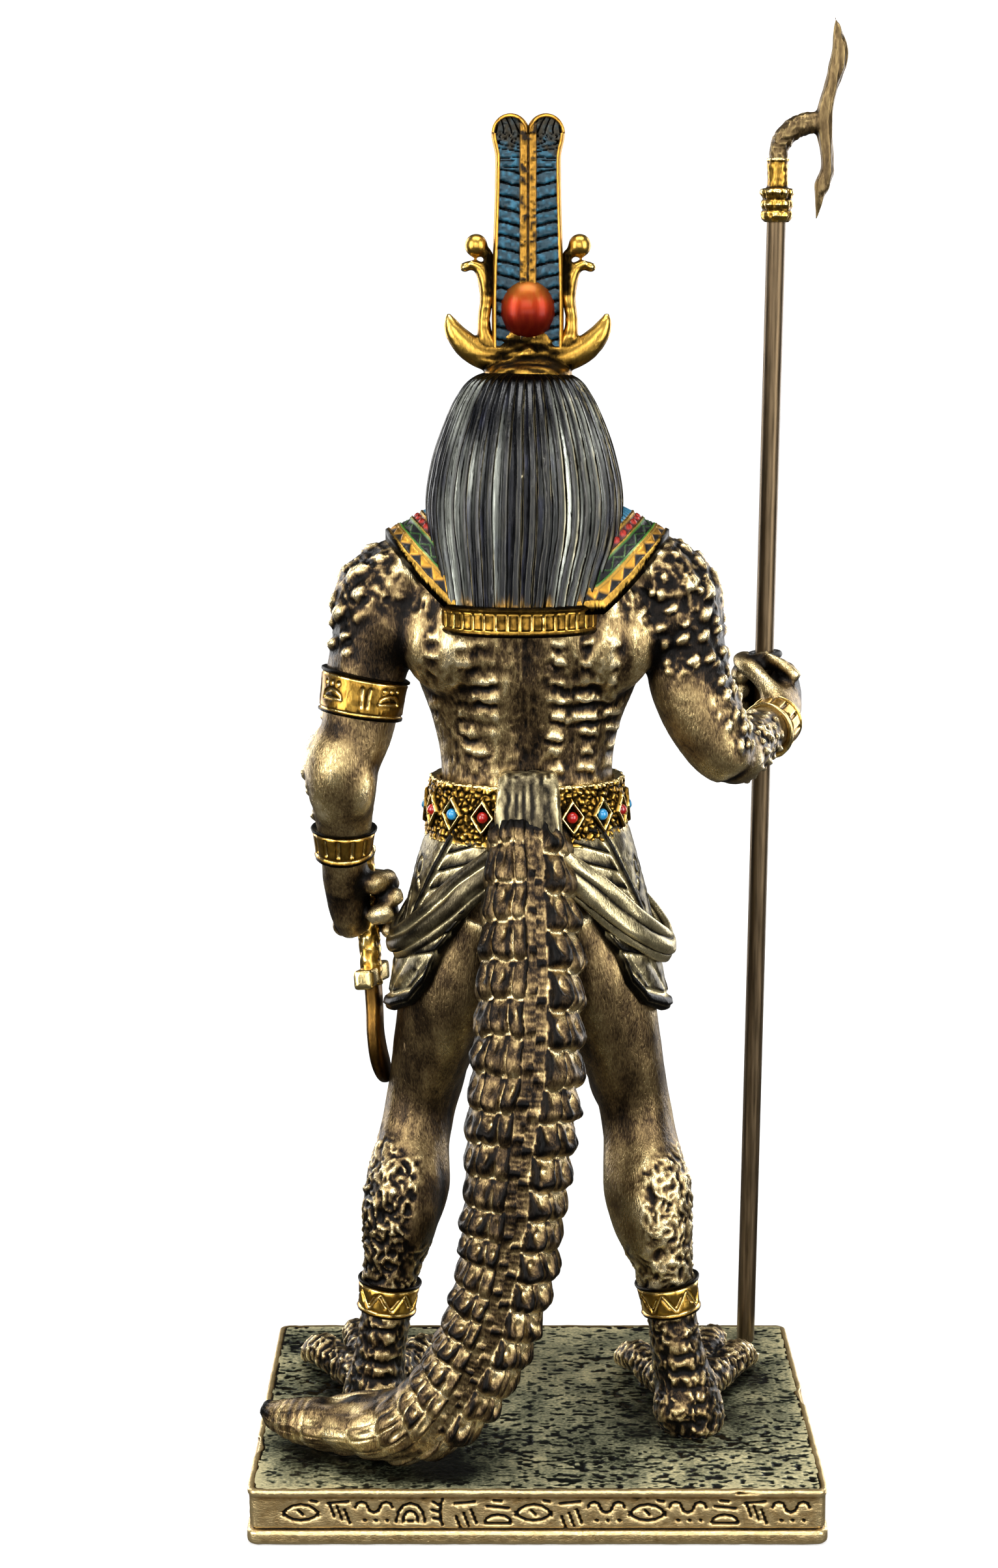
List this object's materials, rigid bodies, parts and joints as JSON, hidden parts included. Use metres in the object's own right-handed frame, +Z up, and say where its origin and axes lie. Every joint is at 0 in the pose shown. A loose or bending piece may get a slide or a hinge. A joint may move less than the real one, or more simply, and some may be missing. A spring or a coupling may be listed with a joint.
{
  "type": "crocodile god figure on plinth",
  "caption": "Standing crocodile-headed god in kilt, wig and plumed crown, holding a tall hooked staff and a sickle sword, on a low oblong plinth.",
  "frame": {"origin": "middle of the plinth's underside", "axes": "+Z up, the figure faces -Y, +X to the figure's left, so the staff stands on the -X side"},
  "size_m": [0.1207, 0.0882, 0.2965],
  "materials": {
    "plinth_bronze": "cold-cast bronze resin with a dark green-grey patina, polished edges and a gold-bronze band",
    "figure_bronze": "cold-cast bronze resin, dark in the hollows and polished on the high places, with gold, blue, red and green paint",
    "shaft_metal": "satin bronze lacquer on a drawn metal rod",
    "staff_head_bronze": "cold-cast bronze resin with a gold-painted collar",
    "black_rubber": "plain black rubber",
    "sword_gold": "cold-cast bronze resin painted gold, worn to brown along the blade"
  },
  "bodies": {
    "root": {"plinth": "plinth_bronze", "figure": "figure_bronze", "staff_shaft": "shaft_metal", "staff_head": "staff_head_bronze", "rubber_ring": "black_rubber", "sickle_sword": "sword_gold"}
  },
  "joints": []
}
